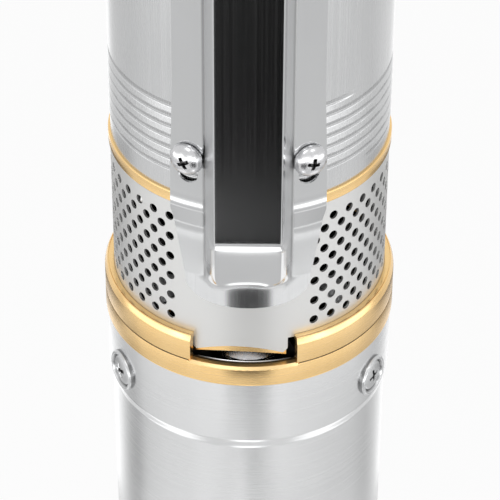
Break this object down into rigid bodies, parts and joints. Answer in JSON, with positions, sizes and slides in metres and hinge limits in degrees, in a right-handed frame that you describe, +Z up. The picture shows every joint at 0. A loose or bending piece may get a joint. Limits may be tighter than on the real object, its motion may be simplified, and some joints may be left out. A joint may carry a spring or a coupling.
{
  "type": "borehole submersible pump",
  "caption": "Slim round borehole pump: steel motor below, notched brass intake with perforated strainer, staged pump casing with a cable guard, brass discharge head.",
  "frame": {"origin": "centre of the underside of the motor's end cap, on the pump's axis", "axes": "+Z up along the shaft axis towards the outlet, -Y towards the cable guard, +X to the right of the guard seen from the front"},
  "size_m": [0.0994, 0.1065, 0.7442],
  "materials": {
    "casing_steel": "brushed stainless steel",
    "guard_steel": "polished stainless sheet with a fine lengthwise grain",
    "strainer_steel": "satin stainless sheet",
    "screw_steel": "bright stainless fasteners",
    "inner_steel": "turned stainless steel",
    "bearing_steel": "ground bearing steel",
    "lamination": "stacked electrical sheet",
    "winding_copper": "varnished copper wire",
    "brass": "machined satin brass",
    "rubber": "black rubber",
    "seal_face": "lapped seal face",
    "stage_plastic": "black moulded plastic",
    "impeller_plastic": "ivory moulded plastic"
  },
  "bodies": {
    "pump": {"end_cap": "casing_steel", "end_screws": "screw_steel", "diaphragm": "rubber", "lower_cover": "brass", "cover_o_ring": "rubber", "lower_bearing_outer": "bearing_steel", "motor_casing": "casing_steel", "stator_core": "lamination", "stator_winding": "winding_copper", "upper_bearing_outer": "bearing_steel", "seal_seat": "seal_face", "motor_top_flange": "brass", "flange_o_ring": "rubber", "seal_cover": "inner_steel", "cable_gland": "inner_steel", "gland_grommet": "rubber", "motor_screws": "screw_steel", "cup_washers": "screw_steel", "flange_studs": "inner_steel", "flange_nuts": "screw_steel", "suction_bracket": "brass", "strainer": "strainer_steel", "pump_casing": "casing_steel", "inlet_ring": "stage_plastic", "top_spider": "stage_plastic", "top_bush": "rubber", "discharge_head": "brass", "head_o_ring": "rubber", "valve_seat": "inner_steel", "valve_spring": "inner_steel", "valve_guide": "stage_plastic", "cable_guard": "guard_steel", "guard_screws_lower": "screw_steel", "guard_screws_upper": "screw_steel", "diffuser_1": "stage_plastic", "diffuser_2": "stage_plastic", "diffuser_3": "stage_plastic", "diffuser_4": "stage_plastic", "diffuser_5": "stage_plastic", "diffuser_6": "stage_plastic"},
    "rotor": {"motor_shaft": "inner_steel", "rotor_core": "lamination", "lower_bearing_inner": "bearing_steel", "lower_bearing_balls": "bearing_steel", "upper_bearing_inner": "bearing_steel", "upper_bearing_balls": "bearing_steel", "seal_ring": "seal_face", "sand_slinger": "rubber", "coupling": "inner_steel", "pump_shaft": "inner_steel", "shaft_sleeve": "inner_steel", "shaft_nut": "inner_steel", "impeller_1": "impeller_plastic", "impeller_2": "impeller_plastic", "impeller_3": "impeller_plastic", "impeller_4": "impeller_plastic", "impeller_5": "impeller_plastic", "impeller_6": "impeller_plastic"},
    "check_valve": {"valve_poppet": "stage_plastic"}
  },
  "joints": [
    {"name": "shaft_spin", "type": "hinge", "parent": "pump", "child": "rotor", "pos_m": [0, 0, 0.35], "axis": [0, 0, 1], "continuous": true},
    {"name": "valve_lift", "type": "slide", "parent": "pump", "child": "check_valve", "axis": [0, 0, 1], "range_m": [0, 0.008], "stiffness_N_per_m": 150, "springref_m": -0.006, "deforming": ["valve_spring"]}
  ]
}
